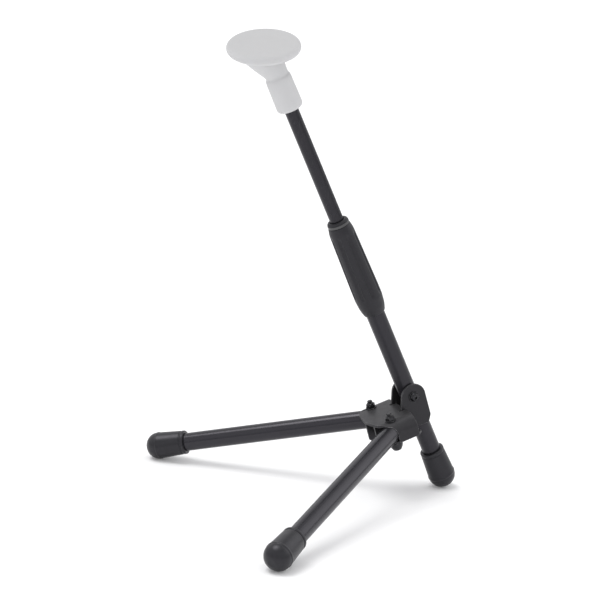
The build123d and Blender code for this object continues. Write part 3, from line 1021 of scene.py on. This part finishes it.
class SAXSTAND_OT_grip(Operator):
    """Make the twist grip, the collet's grey ring and the cap over it"""

    bl_idname = "saxstand.grip"
    bl_label = "Twist grip"

    def execute(self, context):
        grip = placed("twist_grip", (POST,), fluted_grip)
        coat(grip, "Grip Rubber")
        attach(grip, "clutch")
        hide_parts("clutch_grip")
        ring = softened("collet_ring", "collet", 0.35 * MM)
        coat(ring, "Grey Nylon")
        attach(ring, "post")
        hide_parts("collet")
        cap = softened("collet_top", "collet_cap", 0.5 * MM)
        coat(cap, "Grip Rubber")
        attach(cap, "post")
        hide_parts("collet_cap")
        return {"FINISHED"}


# ---- peg ------------------------------------------------------------------------------------
def ring_frame(centre, normal, radius):
    """Where a unit circle goes to become one ring of the peg, in metres."""
    side = DISC.to_3x3().col[1].normalized()
    z_dir = normal.normalized()
    y_dir = (side - z_dir * side.dot(z_dir)).normalized()
    turn = Matrix((y_dir.cross(z_dir), y_dir, z_dir)).transposed().to_4x4()
    return Matrix.Translation(centre) @ turn @ Matrix.Diagonal((radius, radius, 1, 1))


def peg_rings():
    """Every ring from the roof of the rod's socket, out and up to the middle of the disc."""
    socket = Span("peg_socket", POST)
    sleeve_low = Span("peg", POST, within=20.0).low
    bore = Span("upper_rod", POST).radius + 0.3
    disc_radius = Span("peg", DISC, level=3.0).radius
    clear = 0.15
    rings = []

    def on_post(radius, height):
        rings.append(ring_frame(POST @ Vector((0, 0, height)), POST_UP, radius * MM))

    def on_disc(radius, height, shift=0.0):
        rings.append(ring_frame(DISC @ Vector((0, shift, height)), DISC_UP, radius * MM))

    roof = socket.high + clear
    inside = socket.radius + clear
    for radius, height in (
        (0.5, roof), (inside, roof), (inside, socket.low - clear), (bore, socket.low - clear),
        (bore, sleeve_low + 0.4), (bore + 0.4, sleeve_low),
    ):
        on_post(radius, height)
    bottom = 15.0
    lip = 4.2
    steps = 8
    for step in range(steps + 1):
        angle = math.pi / 2 * step / steps
        on_post(bottom - lip + lip * math.sin(angle), sleeve_low + lip * (1 - math.cos(angle)))
    top = 14.6
    neck = 13.0
    wall_low = sleeve_low + lip
    shoulder = 413.0
    for part in (0.2, 0.4, 0.6, 0.8, 0.93):
        on_post(bottom + (top - bottom) * part, wall_low + (shoulder - wall_low) * part)
    for radius, rise in ((14.3, 1.6), (13.8, 2.8), (13.2, 3.8), (neck, 4.8)):
        on_post(radius, shoulder + rise)
    thickness = 10.0
    flare = 27.0
    flare_curve = 1.12
    sunk = 0.9
    turn_share = 0.9
    far = -9.0
    low_centre = POST @ Vector((0, 0, shoulder + 6.0))
    high_centre = DISC @ Vector((0, far, -thickness * sunk))
    count = 22
    for step in range(1, count):
        part = step / count
        grown = neck + (flare - neck) * part ** flare_curve
        turned_way = smooth_step(part * turn_share)
        normal = POST_UP.lerp(DISC_UP, turned_way)
        rings.append(ring_frame(low_centre.lerp(high_centre, part), normal, grown * MM))
    rim = thickness / 2
    flat = disc_radius - rim
    for part, drop in ((0.12, 0.1), (0.3, 0.02), (0.55, 0.0), (0.8, 0.0)):
        on_disc(flare + (flat - flare) * part, drop - thickness, far * (1.0 - part))
    steps = 14
    for step in range(steps + 1):
        angle = math.pi * step / steps
        on_disc(disc_radius - rim + rim * math.sin(angle), -rim - rim * math.cos(angle))
    for part in (0.93, 0.8, 0.6, 0.4, 0.2, 0.04):
        on_disc(flat * part, 0.0)
    return rings


class SAXSTAND_OT_peg(Operator):
    """Make the soft peg: a sleeve on the rod, a flared neck and the round disc"""

    bl_idname = "saxstand.peg"
    bl_label = "Peg"

    def execute(self, context):
        rings = peg_rings()
        mesh = bmesh.new()
        circle = bmesh.ops.create_circle(mesh, cap_ends=True, segments=144, radius=1.0)
        loop = circle["verts"]
        last = Matrix.Identity(4)
        for index, place in enumerate(rings):
            if index:
                open_edges = [edge for edge in mesh.edges if edge.is_boundary]
                grown = bmesh.ops.extrude_edge_only(mesh, edges=open_edges)
                loop = [item for item in grown["geom"] if isinstance(item, bmesh.types.BMVert)]
            bmesh.ops.transform(mesh, matrix=place @ last.inverted(), verts=loop)
            last = place
        open_edges = [edge for edge in mesh.edges if edge.is_boundary]
        bmesh.ops.edgeloop_fill(mesh, edges=open_edges)
        bmesh.ops.recalc_face_normals(mesh, faces=mesh.faces)
        peg = new_piece("soft_peg", mesh, math.radians(40))
        coat(peg, "Peg Rubber")
        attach(peg, "peg")
        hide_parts("peg")
        return {"FINISHED"}


# ---- stage ------------------------------------------------------------------------------------
def room_bands(ramp):
    """How bright the room is from the horizon up: pale walls, dimmer over them."""
    for place, bright in (
        (0.0, 0.36), (0.07, 0.4), (0.2, 0.9), (0.3, 1.0), (0.62, 1.0), (0.78, 0.52), (1.0, 0.5),
    ):
        stop = ramp.elements.new(place) if 0.0 < place < 1.0 else ramp.elements[round(place)]
        stop.color = (bright, bright, bright * 1.02, 1.0)


def soft_light(name, power, spread, towards):
    """A wide soft light a long way off; towards points from the stand to it."""
    lamp = bpy.data.lights.new(name, "SUN")
    lamp.energy = power
    lamp.angle = math.radians(spread)
    thing = bpy.data.objects.new(name, lamp)
    thing.location = (0, 0, 3)  # clear of the stand; only its direction matters
    thing.rotation_mode = "QUATERNION"
    thing.rotation_quaternion = Vector(towards).to_track_quat("Z", "Y")
    bpy.context.scene.collection.objects.link(thing)


def make_floor():
    """A wide pale floor that glows a little, so that it stays white."""
    reach = 30.0
    mesh = bmesh.new()
    bmesh.ops.create_circle(mesh, cap_ends=True, segments=96, radius=reach)
    floor = new_piece("floor", mesh)
    pale = bpy.data.materials.new("Pale Floor")
    pale.use_nodes = True
    shader = pale.node_tree.nodes["Principled BSDF"]
    for name, value in (
        ("Base Color", (0.9, 0.9, 0.9, 1.0)),
        ("Emission Color", (1.0, 1.0, 1.0, 1.0)),
        ("Emission Strength", 0.08),
        ("Roughness", 0.9),
        ("Specular IOR Level", 0.1),
    ):
        shader.inputs[name].default_value = value
    floor.data.materials.append(pale)


def make_room(strength):
    """Light from all round by the room's bands, behind a backdrop that is plain white."""
    world = bpy.data.worlds.new("Soft Room")
    world.use_nodes = True
    room = world.node_tree
    around = add_node(room, "ShaderNodeTexCoord")
    height = add_node(room, "ShaderNodeSeparateXYZ", {0: around.outputs["Generated"]})
    bands = add_node(room, "ShaderNodeValToRGB", {0: height.outputs["Z"]})
    room_bands(bands.color_ramp)
    seen = add_node(room, "ShaderNodeLightPath")
    backdrop = blend_colour(
        room, seen.outputs["Is Camera Ray"], bands.outputs["Color"], (1.0, 1.0, 1.0)
    )
    light = room.nodes["Background"]
    room.links.new(backdrop, light.inputs["Color"])
    light.inputs["Strength"].default_value = strength
    bpy.context.scene.world = world


def make_camera(stage):
    """A camera turned and leant as the stage says, at its distance from the aim."""
    azimuth, elevation = stage.azimuth, stage.elevation
    back = Vector(
        (
            math.sin(azimuth) * math.cos(elevation),
            -math.cos(azimuth) * math.cos(elevation),
            math.sin(elevation),
        )
    )
    right = Vector((math.cos(azimuth), math.sin(azimuth), 0))
    up = back.cross(right)
    turn = Matrix((right, up, back)).transposed() @ Matrix.Rotation(stage.roll, 3, "Z")
    lens = bpy.data.cameras.new("camera")
    lens.lens = stage.lens
    lens.sensor_width = 36.0
    camera = bpy.data.objects.new("camera", lens)
    camera.rotation_mode = "QUATERNION"
    camera.rotation_quaternion = turn.to_quaternion()
    camera.location = Vector(stage.aim) + back * stage.distance
    bpy.context.scene.collection.objects.link(camera)
    bpy.context.scene.camera = camera


class SAXSTAND_OT_stage(Operator):
    """Set up the pale floor, the soft lights and the camera"""

    bl_idname = "saxstand.stage"
    bl_label = "Floor, lights and camera"

    def execute(self, context):
        stage = context.scene.sax_stand_stage
        make_floor()
        make_room(stage.room)
        soft_light("overhead", stage.key_power, spread=32, towards=(-0.16, -0.3, 0.94))
        soft_light("fill", stage.fill_power, spread=56, towards=(0.1, 0.85, 0.6))
        make_camera(stage)
        context.scene.view_settings.view_transform = "Standard"
        return {"FINISHED"}


# ---- panel --------------------------------------------------------------------------------------
STEPS = (
    SAXSTAND_OT_hub,
    SAXSTAND_OT_fasteners,
    SAXSTAND_OT_tubes,
    SAXSTAND_OT_feet,
    SAXSTAND_OT_grip,
    SAXSTAND_OT_peg,
    SAXSTAND_OT_stage,
)


class SAXSTAND_PT_pieces(Panel):
    """The stand's pieces, sizes and colours"""

    bl_idname = "SAXSTAND_PT_pieces"
    bl_label = "Sax Stand"
    bl_space_type = "VIEW_3D"
    bl_region_type = "UI"
    bl_category = "Sax Stand"

    def draw(self, context):
        layout = self.layout
        for step in STEPS:
            layout.operator(step.bl_idname)
        for group in ("sax_stand_shape", "sax_stand_colours", "sax_stand_stage"):
            values = getattr(context.scene, group)
            for name in values.__annotations__:
                layout.prop(values, name)


CLASSES = (SaxStandShape, SaxStandColours, SaxStandStage, *STEPS, SAXSTAND_PT_pieces)


def register():
    for cls in CLASSES:
        bpy.utils.register_class(cls)
    bpy.types.Scene.sax_stand_shape = PointerProperty(type=SaxStandShape)
    bpy.types.Scene.sax_stand_colours = PointerProperty(type=SaxStandColours)
    bpy.types.Scene.sax_stand_stage = PointerProperty(type=SaxStandStage)


def unregister():
    del bpy.types.Scene.sax_stand_stage
    del bpy.types.Scene.sax_stand_colours
    del bpy.types.Scene.sax_stand_shape
    for cls in reversed(CLASSES):
        bpy.utils.unregister_class(cls)


def main():
    """Make every piece in order."""
    register()
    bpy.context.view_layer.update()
    make_finishes()
    for step in STEPS:
        category, name = step.bl_idname.split(".")
        getattr(getattr(bpy.ops, category), name)()


if __name__ == "__main__":
    main()
